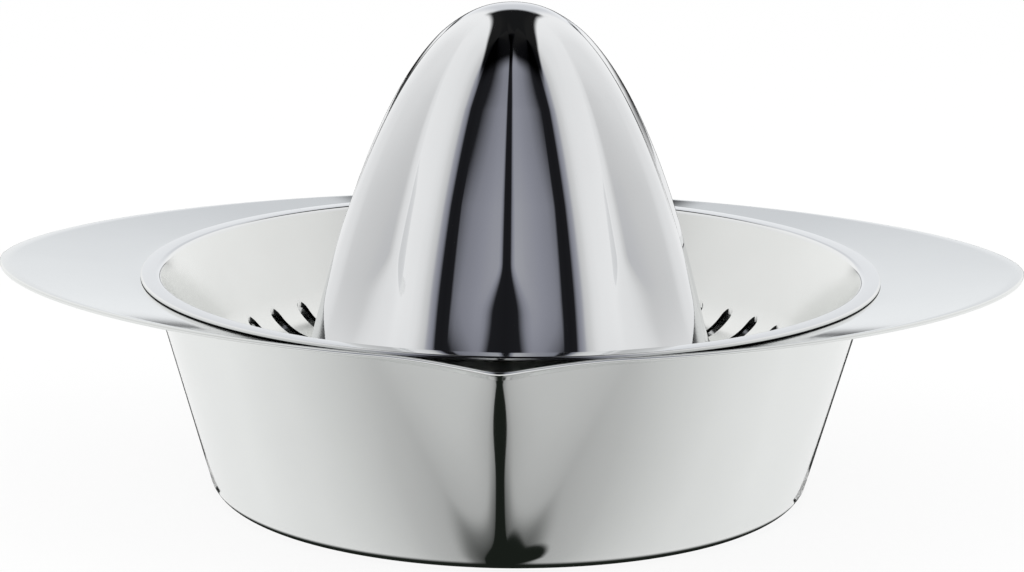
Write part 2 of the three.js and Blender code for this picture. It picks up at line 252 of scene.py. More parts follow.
def grid_mesh(name, rows, capped):
    """Mesh of rings of points: capped at both ends by a point on the axis, or else closed in a loop."""
    count = len(rows[0])
    points = [tuple(p) for row in rows for p in row]
    faces = []
    for i in range(len(rows) - 1 if capped else len(rows)):
        a, b = i * count, (i + 1) % len(rows) * count
        for j in range(count):
            k = (j + 1) % count
            faces.append((a + j, a + k, b + k, b + j))
    if capped:
        last = (len(rows) - 1) * count
        first_middle, last_middle = len(points), len(points) + 1
        points += [(0.0, 0.0, float(row[:, 2].mean())) for row in (rows[0], rows[-1])]
        for j in range(count):
            k = (j + 1) % count
            faces.append((first_middle, k, j))
            faces.append((last_middle, last + j, last + k))
    mesh = bpy.data.meshes.new(name)
    mesh.from_pydata([(x * MM, y * MM, z * MM) for x, y, z in points], [], faces)
    mesh.validate()
    return mesh


def finish_mesh(mesh):
    """Joins points that meet, turns the faces outwards and makes them smooth."""
    work = bmesh.new()
    work.from_mesh(mesh)
    bmesh.ops.remove_doubles(work, verts=work.verts, dist=MERGE_DISTANCE)
    bmesh.ops.recalc_face_normals(work, faces=work.faces)
    if work.calc_volume(signed=True) < 0:
        bmesh.ops.reverse_faces(work, faces=work.faces)
    work.to_mesh(mesh)
    work.free()
    mesh.shade_smooth()


def piece_from(mesh, body, node, material):
    """Puts a finer mesh in the place of a CAD node."""
    finish_mesh(mesh)
    mesh.materials.append(material)
    piece = bpy.data.objects.new(mesh.name, mesh)
    bpy.context.scene.collection.objects.link(piece)
    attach(piece, body)
    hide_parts(node)
    return piece


# Bowl shape, as in the CAD model but with more steps
def bowl_outer(z):
    """Radius of the wall's outside at a height."""
    return MOUTH_RADIUS - (RIM_HEIGHT - z) * math.tan(BOWL_WALL_ANGLE)


def bowl_inner(z):
    return bowl_outer(z) - BOWL_SHEET / math.cos(BOWL_WALL_ANGLE)


mouth_z = RIM_HEIGHT - MOUTH_ROUND
mouth_x = bowl_inner(mouth_z) + MOUTH_ROUND / math.cos(BOWL_WALL_ANGLE)
rim_radius = MOUTH_RADIUS + RIM_LAP
seat_radius = rim_radius + WING_SEAT_MARGIN
wing_flat_end = WING_HALF_WIDTH - BOWL_SHEET / 2


def bowl_profile():
    """Half section as of a round bowl: base, outer wall, wing's edge, inner wall, inner base."""
    foot_height = FOOT_ROUND * (1 - math.sin(BOWL_WALL_ANGLE))
    foot_x = bowl_outer(foot_height) - FOOT_ROUND * math.cos(BOWL_WALL_ANGLE)
    down, up = -math.pi / 2, math.pi / 2
    wallward, mouthward = -BOWL_WALL_ANGLE, math.pi - BOWL_WALL_ANGLE
    outer_foot = arc(foot_x, FOOT_ROUND, FOOT_ROUND, down, wallward, ARC_STEPS)
    inner_foot = arc(foot_x, FOOT_ROUND, FOOT_ROUND - BOWL_SHEET, wallward, down, ARC_STEPS)
    outer_mouth = arc(mouth_x, mouth_z, MOUTH_ROUND - BOWL_SHEET, mouthward, up, SMALL_ARC_STEPS)
    inner_mouth = arc(mouth_x, mouth_z, MOUTH_ROUND, up, mouthward, SMALL_ARC_STEPS)
    nose = BOWL_SHEET / 2
    edge = arc(WING_HALF_WIDTH - nose, RIM_HEIGHT - nose, nose, down, up, SMALL_ARC_STEPS)
    seat_outer, seat_inner = (seat_radius, RIM_HEIGHT - BOWL_SHEET), (seat_radius, RIM_HEIGHT)
    base = outer_foot[0][0]
    discs = [base * k / BASE_RINGS for k in range(1, BASE_RINGS)]
    return [
        *[(r, 0.0) for r in discs],
        *outer_foot,
        *line(outer_foot[-1], outer_mouth[0], WALL_STEPS),
        *outer_mouth,
        seat_outer,
        *line(seat_outer, edge[0], WING_STEPS),
        *edge,
        *line(edge[-1], seat_inner, WING_STEPS),
        seat_inner,
        *inner_mouth,
        *line(inner_mouth[-1], inner_foot[0], WALL_STEPS),
        *inner_foot,
        *[(r, BOWL_SHEET) for r in reversed(discs)],
    ]


def wing_radius(angle):
    """Radius of the wing's oval edge at an angle from straight in front."""
    along = np.abs(np.sin(angle)) / WING_HALF_LENGTH
    across = np.abs(np.cos(angle)) / WING_HALF_WIDTH
    return (along ** WING_POWER + across ** WING_POWER) ** (-1 / WING_POWER)


def spout_share(x, climb):
    """How far the wall is drawn out to the spout at x, from 0 at the spout's sides to 1 on its keel."""
    half = lerp(SPOUT_FOOT_HALF_WIDTH, SPOUT_HALF_WIDTH, climb)
    aside = np.minimum(np.abs(x) / half, 1)
    keel = lerp(KEEL_ROUND_SHARE, KEEL_LIP_ROUND_SHARE, smoothstep(climb, *KEEL_LIP_SHARES))
    soft = np.hypot(aside, keel) - keel
    whole = math.hypot(1, keel) - keel
    return (1 - soft / whole) ** SPOUT_FLANK_POWER


def bowl_rows():
    """Rings of the bowl, crowded towards the front, and stretched to the oval wing and the spout."""
    share = np.arange(BOWL_SEGMENTS) / BOWL_SEGMENTS * TURN
    angle = share - FRONT_CROWDING_SHARE * np.sin(2 * share) * (1 + np.cos(share)) / 2
    oval = wing_radius(angle)
    edge_rise = WING_EDGE_RISE + WING_TIP_RISE * (oval * np.sin(angle) / WING_HALF_LENGTH) ** 2
    rows = []
    for r, z in bowl_profile():
        beyond = min(max((r - seat_radius) / (wing_flat_end - seat_radius), 0), 1)
        if r <= seat_radius:
            radius = np.full(BOWL_SEGMENTS, r)
        elif beyond == 1:
            radius = oval - WING_HALF_WIDTH + r
        else:
            radius = lerp(seat_radius, oval - BOWL_SHEET / 2, beyond)
        x, y = radius * np.sin(angle), -radius * np.cos(angle)
        height = z + edge_rise * beyond
        climb = min(max((z - SPOUT_FOOT_HEIGHT) / (RIM_HEIGHT - SPOUT_FOOT_HEIGHT), 0), 1)
        strength = np.where(y < 0, spout_share(x, climb), 0)
        flange = min(max((r - mouth_x) / (WING_HALF_WIDTH - mouth_x), 0), 1)
        lip_reach = MOUTH_RADIUS + SPOUT_REACH + SPOUT_LIP - WING_HALF_WIDTH
        reach = lerp(SPOUT_REACH * climb, lip_reach, flange)
        drop = SPOUT_DROP * climb ** 2 * (1 + SPOUT_LIP_DROP_SHARE * flange)
        rows.append(np.stack([x, y - reach * strength, height - drop * strength], 1))
    return rows


# Strainer shape
dish_top = bowl_inner(RIM_HEIGHT) - INSERT_CLEARANCE
floor_height = RIM_HEIGHT - DISH_DEPTH
dish_slope, dish_cos = math.tan(DISH_WALL_ANGLE), math.cos(DISH_WALL_ANGLE)


def dish_inner(z):
    """Radius of the strainer wall's inside at a height."""
    return dish_top - (RIM_HEIGHT - z) * dish_slope - INSERT_SHEET / dish_cos


corner_z = floor_height + DISH_CORNER_ROUND
corner_top = floor_height + DISH_CORNER_ROUND * (1 - math.sin(DISH_WALL_ANGLE))
corner_x = dish_inner(corner_top) - DISH_CORNER_ROUND * dish_cos
flange_radius = corner_x - DISH_FLOOR_BORDER
reamer_foot_radius = flange_radius - REAMER_FLANGE - REAMER_FOOT_ROUND
hole_radius = flange_radius - REAMER_SEAT


def dish_profile():
    """Closed half section: from the floor's hole under the dish to the rim's edge, and back inside."""
    rim_top = RIM_HEIGHT + INSERT_SHEET
    bend_z = rim_top - RIM_ROUND
    bend_x = dish_inner(bend_z) + RIM_ROUND / dish_cos
    down, up = -math.pi / 2, math.pi / 2
    wallward, mouthward = -DISH_WALL_ANGLE, math.pi - DISH_WALL_ANGLE
    edge = RIM_EDGE_ROUND
    outer_corner = arc(corner_x, corner_z, DISH_CORNER_ROUND + INSERT_SHEET, down, wallward, ARC_STEPS)
    outer_bend = arc(bend_x, bend_z, RIM_ROUND - INSERT_SHEET, mouthward, up, SMALL_ARC_STEPS)
    inner_bend = arc(bend_x, bend_z, RIM_ROUND, up, mouthward, SMALL_ARC_STEPS)
    inner_corner = arc(corner_x, corner_z, DISH_CORNER_ROUND, wallward, down, ARC_STEPS)
    return [
        (hole_radius, floor_height - INSERT_SHEET),
        *outer_corner,
        *line(outer_corner[-1], outer_bend[0], DISH_WALL_STEPS),
        *outer_bend,
        *line((rim_radius, RIM_HEIGHT), (rim_radius, rim_top - edge), EDGE_STEPS)[:-1],
        *arc(rim_radius - edge, rim_top - edge, edge, 0, up, SMALL_ARC_STEPS),
        *inner_bend,
        *line(inner_bend[-1], inner_corner[0], DISH_WALL_STEPS),
        *inner_corner,
        (hole_radius, floor_height),
    ]


def revolved_rows(profile, segments):
    angle = np.arange(segments) / segments * TURN
    x, y = np.sin(angle), -np.cos(angle)
    return [np.stack([r * x, r * y, np.full(segments, z)], 1) for r, z in profile]


def slot_cutters():
    """One mesh of all the slots, each a stadium standing up through the dish's corner."""
    half = SLOT_WIDTH / 2
    inner = flange_radius + SLOT_TO_REAMER + half
    outer = corner_x + DISH_CORNER_ROUND * SLOT_CLIMB_SHARE - half
    outline = [(outer + half * math.cos(a), half * math.sin(a))
               for a in np.linspace(-math.pi / 2, math.pi / 2, SLOT_END_STEPS + 1)]
    outline += [(inner + half * math.cos(a), half * math.sin(a))
                for a in np.linspace(math.pi / 2, math.pi * 3 / 2, SLOT_END_STEPS + 1)]
    low, high = floor_height - INSERT_SHEET - SLOT_CUT_MARGIN, corner_top
    n = len(outline)
    points, faces = [], []
    for k in range(SLOT_COUNT):
        turn = Matrix.Rotation(k * TURN / SLOT_COUNT, 3, "Z")
        base = len(points)
        for z in (low, high):
            points += [turn @ Vector((x, y, z)) * MM for x, y in outline]
        faces.append(tuple(range(base + n - 1, base - 1, -1)))
        faces.append(tuple(range(base + n, base + 2 * n)))
        sides = [(base + j, base + (j + 1) % n) for j in range(n)]
        faces += [(a, b, b + n, a + n) for a, b in sides]
    mesh = bpy.data.meshes.new("slot_cutters")
    mesh.from_pydata(points, [], faces)
    return mesh


def cut_slots(dish):
    """Cuts the slots out of the dish for good."""
    cutter = bpy.data.objects.new("slot_cutters", slot_cutters())
    bpy.context.scene.collection.objects.link(cutter)
    cut = dish.modifiers.new("slots", "BOOLEAN")
    cut.operation, cut.solver, cut.object = "DIFFERENCE", "EXACT", cutter
    bpy.context.view_layer.update()
    whole = bpy.data.meshes.new_from_object(dish.evaluated_get(bpy.context.evaluated_depsgraph_get()))
    dish.modifiers.remove(cut)
    dish.data = whole
    bpy.data.objects.remove(cutter)


class Profile:
    """Closed outline of radius and height, with the normals of the smooth surface that it draws."""

    def __init__(self, points):
        self.points = np.array(points)
        steps = np.roll(self.points, -1, 0) - self.points
        self.lengths = np.hypot(steps[:, 0], steps[:, 1]) + TINY
        self.along = steps / self.lengths[:, None]
        self.step_normals = np.stack([self.along[:, 1], -self.along[:, 0]], 1)
        before = np.roll(self.step_normals, 1, 0)
        self.point_normals = self.step_normals + before
        self.point_normals /= np.linalg.norm(self.point_normals, axis=1)[:, None] + TINY
        self.sharp = (self.step_normals * before).sum(1) < SHARP_COSINE

    def nearest_step(self, place, normal):
        """Number of the step that a face lies on, told by its place and its normal."""
        reach = np.clip(((place - self.points) * self.along).sum(1), 0, self.lengths)
        near = self.points + self.along * reach[:, None]
        gap = np.hypot(near[:, 0] - place[0], near[:, 1] - place[1])
        return int(np.argmin(gap + NORMAL_WEIGHT * (1 - self.step_normals @ normal)))

    def normal_at(self, step, place):
        """Normal at a place on a step, turning from the normal at one end to that at the other."""
        after = (step + 1) % len(self.points)
        first = self.step_normals[step] if self.sharp[step] else self.point_normals[step]
        second = self.step_normals[step] if self.sharp[after] else self.point_normals[after]
        share = (place - self.points[step]) @ self.along[step] / self.lengths[step]
        normal = lerp(first, second, float(np.clip(share, 0, 1)))
        return normal / (math.hypot(*normal) + TINY)


def dish_normals(mesh, profile):
    """Sets the normals from the profile, so that the slots leave no mark; gives the slots' faces."""
    outline = Profile(profile)
    points = np.empty(len(mesh.vertices) * 3)
    mesh.vertices.foreach_get("co", points)
    points = points.reshape(-1, 3) / MM
    radius = np.hypot(points[:, 0], points[:, 1])
    flat = np.stack([radius, points[:, 2]], 1)
    away = points[:, :2] / radius[:, None]
    normals = []
    cut_faces = set()
    for polygon in mesh.polygons:
        x, y, z = np.array(polygon.center) / MM
        reach = math.hypot(x, y)
        normal = polygon.normal
        flat_normal = np.array([(normal.x * x + normal.y * y) / reach, normal.z])
        step = outline.nearest_step(np.array([reach, z]), flat_normal)
        if 1 - outline.step_normals[step] @ flat_normal > CUT_NORMAL_GAP:
            normals += [tuple(normal)] * polygon.loop_total
            cut_faces.add(polygon.index)
            continue
        for v in polygon.vertices:
            across, up = outline.normal_at(step, flat[v])
            normals.append((across * away[v, 0], across * away[v, 1], up))
    mesh.normals_split_custom_set(normals)
    return cut_faces


def rim_polish_and_painted_shade(mesh, cut_faces):
    """Polished steel on the rim, and painted shade on its lower edge and in the slots: the cut's duller
    face, coloured near black to stand in for the dark gap under the rim and the shade inside the slots.
    """
    mesh.materials.append(rim_steel)
    mesh.materials.append(painted_shade_steel)
    rim_index, painted_shade_index = 1, 2
    for polygon in mesh.polygons:
        x, y, z = (value / MM for value in polygon.center)
        on_edge = math.hypot(x, y) > rim_radius - RIM_EDGE_ROUND and z < RIM_HEIGHT + PAINTED_SHADE_EDGE_HEIGHT
        # The lower edge and the slots' walls get the near-black painted shade
        if on_edge or polygon.index in cut_faces:
            polygon.material_index = painted_shade_index
        elif z > RIM_HEIGHT - RIM_POLISH_DEPTH:
            polygon.material_index = rim_index


# Reamer shape: level 0 is the tip and level 1 the top of the foot's round
half_lobe = math.pi / LOBE_COUNT
steps_per_half = LOBE_VALLEY_STEPS + LOBE_SLOPE_STEPS + LOBE_RIDGE_STEPS
reamer_top = floor_height + REAMER_HEIGHT
reamer_wall_height = REAMER_HEIGHT - INSERT_SHEET - REAMER_FOOT_ROUND


def along_levels(values, level):
    """Value at a level, between values at even levels from 0 to 1."""
    place = level * (len(values) - 1)
    low = min(int(place), len(values) - 2)
    return lerp(values[low], values[low + 1], place - low)


def outward(angle):
    """Direction in the plane of a ring, at an angle from the middle of a valley."""
    return np.array([math.sin(angle), math.cos(angle)])


def half_lobe_points(level):
    """Angle and radius of points from a valley's middle to a ridge's top, for a ridge radius of 1."""
    ridge_round = along_levels(RIDGE_ROUND_SHARES, level)
    widening = float(smoothstep(level, *VALLEY_WIDENS_SHARES))
    valley_round = lerp(VALLEY_ROUND_SHARE, LOW_VALLEY_ROUND_SHARE, widening)
    ridge_end = math.radians(along_levels(RIDGE_END_ANGLES, level))
    ridge_centre = (1 - ridge_round) * outward(half_lobe)
    slope_centre = ridge_centre + (ridge_round - SLOPE_ROUND_SHARE) * outward(-ridge_end)
    lean = math.asin(slope_centre[0] / (SLOPE_ROUND_SHARE + valley_round))
    valley_centre = slope_centre + (SLOPE_ROUND_SHARE + valley_round) * outward(-lean)
    points = [valley_centre - valley_round * outward(-lean * k / LOBE_VALLEY_STEPS)
              for k in range(LOBE_VALLEY_STEPS + 1)]
    points += [slope_centre + SLOPE_ROUND_SHARE * outward(lerp(-lean, -ridge_end, k / LOBE_SLOPE_STEPS))
               for k in range(1, LOBE_SLOPE_STEPS)]
    points += [ridge_centre + ridge_round * outward(lerp(-ridge_end, half_lobe, k / LOBE_RIDGE_STEPS))
               for k in range(LOBE_RIDGE_STEPS + 1)]
    return [(math.atan2(x, y), math.hypot(x, y)) for x, y in points]


def reamer_ring(level):
    """Angle and radius of a ring's points: plain at the tip, lobed below, fuller again at the foot."""
    ridge_round = along_levels(RIDGE_ROUND_SHARES, level)
    side_lobe = math.cos(half_lobe)
    belly = 1 + REAMER_BELLY_SHARE * (1 - level ** REAMER_BELLY_POWER)
    flare = FOOT_FLARE * (max(level - FOOT_FLARE_START_SHARE, 0) / (1 - FOOT_FLARE_START_SHARE)) ** 2
    side_radius = reamer_foot_radius * belly * level ** REAMER_SWELL_POWER + flare
    ridge_radius = side_radius / (side_lobe + (1 - side_lobe) * ridge_round)
    fill = FOOT_FILL_SHARE * (max(level - FOOT_FILL_START_SHARE, 0) / (1 - FOOT_FILL_START_SHARE)) ** 2
    plain = 1 - float(smoothstep(level, 0, LOBES_START_SHARE))
    half = half_lobe_points(level)
    ring = []
    for lobe in range(LOBE_COUNT):
        middle = 2 * half_lobe * lobe
        for k in range(2 * steps_per_half):
            mirrored = k > steps_per_half
            angle, radius = half[2 * steps_per_half - k if mirrored else k]
            angle = 2 * half_lobe - angle if mirrored else angle
            angle = lerp(angle, half_lobe * k / steps_per_half, plain)
            radius = lerp(radius, 1, fill) * ridge_radius
            ring.append((middle + angle, lerp(radius, side_radius, plain)))
    return ring


def ring_points(ring, z):
    return np.array([(r * math.sin(a), -r * math.cos(a), z) for a, r in ring])


def foot_curves(row, end_radius, end_z):
    """Rings that lead a lobed ring smoothly out to a round, flat flange."""
    radius = np.hypot(row[:, 0], row[:, 1])
    around = row[:, :2] / radius[:, None]
    bend = radius + FOOT_LEAN * (row[:, 2] - end_z)
    rings = []
    for k in range(1, ARC_STEPS + 1):
        t = k / ARC_STEPS
        r = (1 - t) ** 2 * radius + 2 * t * (1 - t) * bend + t * t * end_radius
        z = (1 - t) ** 2 * row[:, 2] + (1 - (1 - t) ** 2) * end_z
        rings.append(np.column_stack([around * r[:, None], z]))
    return rings


def reamer_rows():
    """Rings of the reamer: down the outside, round the flange's edge, and up the inside."""
    levels = [(k / REAMER_LEVELS) ** 2 for k in range(1, REAMER_LEVELS + 1)]
    outer = [ring_points(reamer_ring(s), reamer_top - reamer_wall_height * s) for s in levels]
    inner = []
    for i in range(0, len(outer), INNER_STRIDE):
        above = outer[i - 1] if i else outer[i] * [0, 0, 1] + [0, 0, reamer_top - outer[i][0][2]]
        below = outer[min(i + 1, len(outer) - 1)]
        around = np.roll(outer[i], -1, 0) - np.roll(outer[i], 1, 0)
        normal = np.cross(around, above - below)
        normal /= np.linalg.norm(normal, axis=1)[:, None]
        inner.append(outer[i] - normal * INSERT_SHEET)
    flange_start, foot_top = flange_radius - REAMER_FLANGE, floor_height + INSERT_SHEET
    outer_foot = foot_curves(outer[-1], flange_start, foot_top)
    inner_foot = foot_curves(inner[-1], flange_start, floor_height)
    angles = np.arctan2(outer[-1][:, 0], -outer[-1][:, 1])
    flange = [ring_points([(a, flange_radius) for a in angles], z) for z in (foot_top, floor_height)]
    return [*outer, *outer_foot, *flange, *inner_foot[::-1], *inner[::-1]]


def foot_normals(mesh):
    """Turns the normals of the wall's foot a little upwards, as on a wall that flares out more."""
    first, second = FOOT_LIFT_ANGLES
    start, middle, end = FOOT_LIFT_SHARES
    normals = []
    for loop, corner in zip(mesh.loops, mesh.corner_normals):
        n = corner.vector
        place = mesh.vertices[loop.vertex_index].co / MM
        level = (reamer_top - place.z) / reamer_wall_height
        lift = first * float(smoothstep(level, start, middle))
        lift += second * float(smoothstep(level, middle, end))
        climb = math.asin(max(-1, min(1, n.z)))
        if n.x * place.x + n.y * place.y > 0 and level > start:
            climb += math.radians(lift) * math.cos(climb)
        flat = Vector((n.x, n.y, 0))
        flat = flat.normalized() if flat.length > 0 else flat
        normals.append((flat.x * math.cos(climb), flat.y * math.cos(climb), math.sin(climb)))
    mesh.normals_split_custom_set(normals)


# Node helpers
def add_node(tree, kind, inputs=None, **settings):
    """New node; inputs gives each socket's value, or the output that feeds it."""
    node = tree.nodes.new(kind)
    for key, value in settings.items():
        setattr(node, key, value)
    for socket, value in (inputs or {}).items():
        if isinstance(value, bpy.types.NodeSocket):
            tree.links.new(value, node.inputs[socket])
        else:
            node.inputs[socket].default_value = value
    return node


def math_node(tree, operation, *values, clamp=False):
    inputs = dict(enumerate(values))
    return add_node(tree, "ShaderNodeMath", inputs, operation=operation, use_clamp=clamp).outputs[0]


def product(tree, *values):
    total = values[0]
    for value in values[1:]:
        total = math_node(tree, "MULTIPLY", total, value)
    return total


def map_range(tree, value, span, results, easing="SMOOTHSTEP"):
    """Change from one result to the other while the value crosses the span."""
    inputs = {"Value": value, "From Min": span[0], "From Max": span[1]}
    inputs |= {"To Min": results[0], "To Max": results[1]}
    return add_node(tree, "ShaderNodeMapRange", inputs, interpolation_type=easing).outputs[0]


def angle_range(tree, value, degrees, results):
    """Smooth change between two results while an angle crosses a span of degrees."""
    return map_range(tree, value, [math.radians(d) for d in degrees], results)


def colour_input(value):
    return value if isinstance(value, bpy.types.NodeSocket) else (*value, 1)


def mix_colour(tree, share, first, second):
    inputs = {"Fac": share, "Color1": colour_input(first), "Color2": colour_input(second)}
    return add_node(tree, "ShaderNodeMixRGB", inputs).outputs[0]


def noise(tree, place, scale, detail, roughness=0.5):
    inputs = {"Vector": place, "Scale": scale, "Detail": detail, "Roughness": roughness}
    return add_node(tree, "ShaderNodeTexNoise", inputs).outputs["Fac"]


# Steel
def polar_place(tree, place):
    """Turn, distance from the axis and height, with the turn made small so that noise makes rings."""
    parts = add_node(tree, "ShaderNodeSeparateXYZ", {0: place})
    turn = math_node(tree, "ARCTAN2", parts.outputs["Y"], parts.outputs["X"])
    slow_turn = math_node(tree, "MULTIPLY", turn, RING_TURN_SHARE)
    flat = add_node(tree, "ShaderNodeVectorMath", {0: place, 1: (1, 1, 0)}, operation="MULTIPLY")
    reach = add_node(tree, "ShaderNodeVectorMath", {0: flat.outputs[0]}, operation="LENGTH")
    inputs = {"X": slow_turn, "Y": reach.outputs["Value"], "Z": parts.outputs["Z"]}
    return add_node(tree, "ShaderNodeCombineXYZ", inputs).outputs[0]


def steel(name, colour, smooth, rough, streak, grain):
    """Polished steel: faint rings of the polishing wheel, soft smears, and edges worn a little duller."""
    material = bpy.data.materials.new(name)
    material.use_nodes = True
    tree = material.node_tree
    shader = tree.nodes["Principled BSDF"]
    shader.inputs["Metallic"].default_value = 1.0
    place = add_node(tree, "ShaderNodeTexCoord").outputs["Object"]
    rings = noise(tree, polar_place(tree, place), RING_SCALE, RING_DETAIL)
    smears = noise(tree, place, SMEAR_SCALE, SMEAR_DETAIL, SMEAR_ROUGHNESS)
    pits = noise(tree, place, PIT_SCALE, PIT_DETAIL)

    spread = map_range(tree, smears, SMEAR_SPAN, (smooth, rough), "LINEAR")
    fine = math_node(tree, "MULTIPLY_ADD", rings, streak, spread)
    pointiness = add_node(tree, "ShaderNodeNewGeometry").outputs["Pointiness"]
    wear = map_range(tree, pointiness, EDGE_POINTINESS, (0, EDGE_WEAR), "LINEAR")
    tree.links.new(math_node(tree, "ADD", fine, wear, clamp=True), shader.inputs["Roughness"])

    tint = mix_colour(tree, smears, colour, [c * SMEAR_TINT for c in colour])
    tree.links.new(tint, shader.inputs["Base Color"])

    relief = math_node(tree, "ADD", rings, pits)
    inputs = {"Strength": grain, "Distance": RELIEF_DEPTH, "Height": relief}
    tree.links.new(add_node(tree, "ShaderNodeBump", inputs).outputs[0], shader.inputs["Normal"])
    return material


bowl_steel = steel("bowl_steel_polished", (0.80, 0.815, 0.805),
                   smooth=0.06, rough=0.11, streak=0.02, grain=0.05)
strainer_steel = steel("strainer_steel_satin", (0.82, 0.83, 0.815),
                       smooth=0.17, rough=0.24, streak=0.04, grain=0.08)
rim_steel = steel("strainer_rim_polished", (0.80, 0.81, 0.81),
                  smooth=0.04, rough=0.08, streak=0.02, grain=0.03)
# Near-black steel for the cut faces: painted shade, not the steel's own colour
painted_shade_steel = steel("cut_edge_painted_shade_steel", (0.05, 0.053, 0.052),
                  smooth=0.22, rough=0.32, streak=0.05, grain=0.08)
reamer_steel = steel("reamer_steel_polished", (0.80, 0.81, 0.82),
                     smooth=0.03, rough=0.06, streak=0.01, grain=0.03)

# The three sheets
bowl_mesh = grid_mesh("bowl_sheet", bowl_rows(), capped=True)
piece_from(bowl_mesh, "bowl", "bowl", bowl_steel)

strainer_profile = dish_profile()
strainer_mesh = grid_mesh("strainer_dish", revolved_rows(strainer_profile, DISH_SEGMENTS), capped=False)
strainer = piece_from(strainer_mesh, "insert", "strainer", strainer_steel)
cut_slots(strainer)
rim_polish_and_painted_shade(strainer.data, dish_normals(strainer.data, strainer_profile))

reamer_mesh = grid_mesh("reamer_cone", reamer_rows(), capped=True)
reamer = piece_from(reamer_mesh, "insert", "reamer", reamer_steel)
foot_normals(reamer.data)


# Studio
def bare_material(name):
    material = bpy.data.materials.new(name)
    material.use_nodes = True
    material.node_tree.nodes.clear()
    return material


def show(material, surface):
    """Makes the shader's output the material's surface."""
    add_node(material.node_tree, "ShaderNodeOutputMaterial", {0: surface})
    return material


def glow(tree, colour, strength=1.0):
    inputs = {"Color": colour_input(colour), "Strength": strength}
    return add_node(tree, "ShaderNodeEmission", inputs).outputs[0]


def mix_shader(tree, share, first, second):
    return add_node(tree, "ShaderNodeMixShader", {0: share, 1: first, 2: second}).outputs[0]


def seen_rays(tree):
    """1 for rays that show the background: camera, glossy and transmission rays."""
    rays = add_node(tree, "ShaderNodeLightPath").outputs
    surfaces = math_node(tree, "MAXIMUM", rays["Is Camera Ray"], rays["Is Glossy Ray"])
    return math_node(tree, "MAXIMUM", surfaces, rays["Is Transmission Ray"])


def pale_floor():
    """Matt floor that takes shadows, nearly white because most of what is seen of it glows."""
    material = bare_material("studio_floor")
    tree = material.node_tree
    matt = add_node(tree, "ShaderNodeBsdfDiffuse", {"Color": colour_input(FLOOR_COLOUR)}).outputs[0]
    share = product(tree, seen_rays(tree), FLOOR_GLOW_SHARE)
    return show(material, mix_shader(tree, share, matt, glow(tree, (1, 1, 1))))


def bearings(tree):
    """Turn, climb and angle aside of a place on a stage piece, seen from the piece's own origin."""
    place = add_node(tree, "ShaderNodeTexCoord").outputs["Object"]
    unit = add_node(tree, "ShaderNodeVectorMath", {0: place}, operation="NORMALIZE")
    parts = add_node(tree, "ShaderNodeSeparateXYZ", {0: unit.outputs[0]}).outputs
    ahead = math_node(tree, "MULTIPLY", parts["Y"], -1.0)
    turn = math_node(tree, "ABSOLUTE", math_node(tree, "ARCTAN2", parts["X"], ahead))
    climb = math_node(tree, "ARCSINE", parts["Z"])
    aside = math_node(tree, "ARCSINE", math_node(tree, "ABSOLUTE", parts["X"]))
    return turn, climb, aside


def colour_by_turn(tree, turn, marks):
    """Colour at each turn, between marks of degrees and colour."""
    share = math_node(tree, "DIVIDE", turn, math.pi)
    stops = add_node(tree, "ShaderNodeValToRGB", {"Fac": share})
    elements = stops.color_ramp.elements
    while len(elements) < len(marks):
        elements.new(1)
    for element, (degrees, colour) in zip(elements, marks):
        element.position = math.radians(degrees) / math.pi
        element.color = (*colour, 1)
    return stops.outputs[0]


def tent_light(degrees, level):
    """Light of the tent's wall at a turn: bluish towards the front, where it is dim."""
    warm = float(smoothstep(degrees, *TENT_TINT_TURNS))
    return tuple(level * lerp(cool, 1, warm) for cool in TENT_SHADE_TINT)


def tent_openness(tree, turn, climb, aside):
    """1 where the tent is open: in a strip overhead from front to back, and in a low gap behind."""
    open_front = angle_range(tree, climb, OPEN_FRONT_CLIMBS, (0, 1))
    behind = angle_range(tree, turn, OPEN_BACK_TURNS, (0, 1))
    open_back = product(tree, behind, angle_range(tree, climb, OPEN_BACK_CLIMBS, (0, 1)))
    overhead = math_node(tree, "MAXIMUM", open_front, open_back)
    strip = product(tree, angle_range(tree, aside, OPEN_ASIDE, (1, 0)), overhead)
    low = angle_range(tree, climb, HORIZON_CLIMBS, (1, 0))
    horizon = product(tree, angle_range(tree, turn, HORIZON_TURNS, (0, 1)), low)
    return math_node(tree, "MAXIMUM", strip, horizon)


def tent_cloth():
    """Light tent: dim in front, bright sides, a blue-grey back wall, and dark where it is open."""
    material = bare_material("tent_cloth")
    tree = material.node_tree
    turn, climb, aside = bearings(tree)
    marks = [(degrees, tent_light(degrees, level)) for degrees, level in TENT_MARKS]
    sides = colour_by_turn(tree, turn, marks)
    height = angle_range(tree, climb, TENT_BACK_CLIMBS, (0, 1))
    back = mix_colour(tree, height, TENT_BACK_LOW, TENT_BACK_HIGH)
    wall = mix_colour(tree, angle_range(tree, turn, TENT_BACK_TURNS, (0, 1)), sides, back)
    darkness = product(tree, tent_openness(tree, turn, climb, aside), OPEN_DARKNESS)
    return show(material, glow(tree, wall, math_node(tree, "SUBTRACT", 1.0, darkness)))


def keel_cover(tree, cover, turn, reach):
    """Adds to a cover the painted shade that the spout's keel reflects: a dark band that widens, and a soft
    shade close by.
    """
    near = product(tree, map_range(tree, reach, NEAR_REACH, (NEAR_COVER, 0)),
                   angle_range(tree, turn, NEAR_TURNS, (1, 0)))
    widening = product(tree, map_range(tree, reach, KEEL_WIDENING_REACH, (0, KEEL_WIDENING)),
                       map_range(tree, reach, KEEL_NARROWING_REACH, (1, 0)))
    band = angle_range(tree, math_node(tree, "SUBTRACT", turn, widening), KEEL_TURNS, (1, 0))
    cover = math_node(tree, "MAXIMUM", math_node(tree, "ADD", cover, near), band)
    return math_node(tree, "MINIMUM", cover, 1.0)


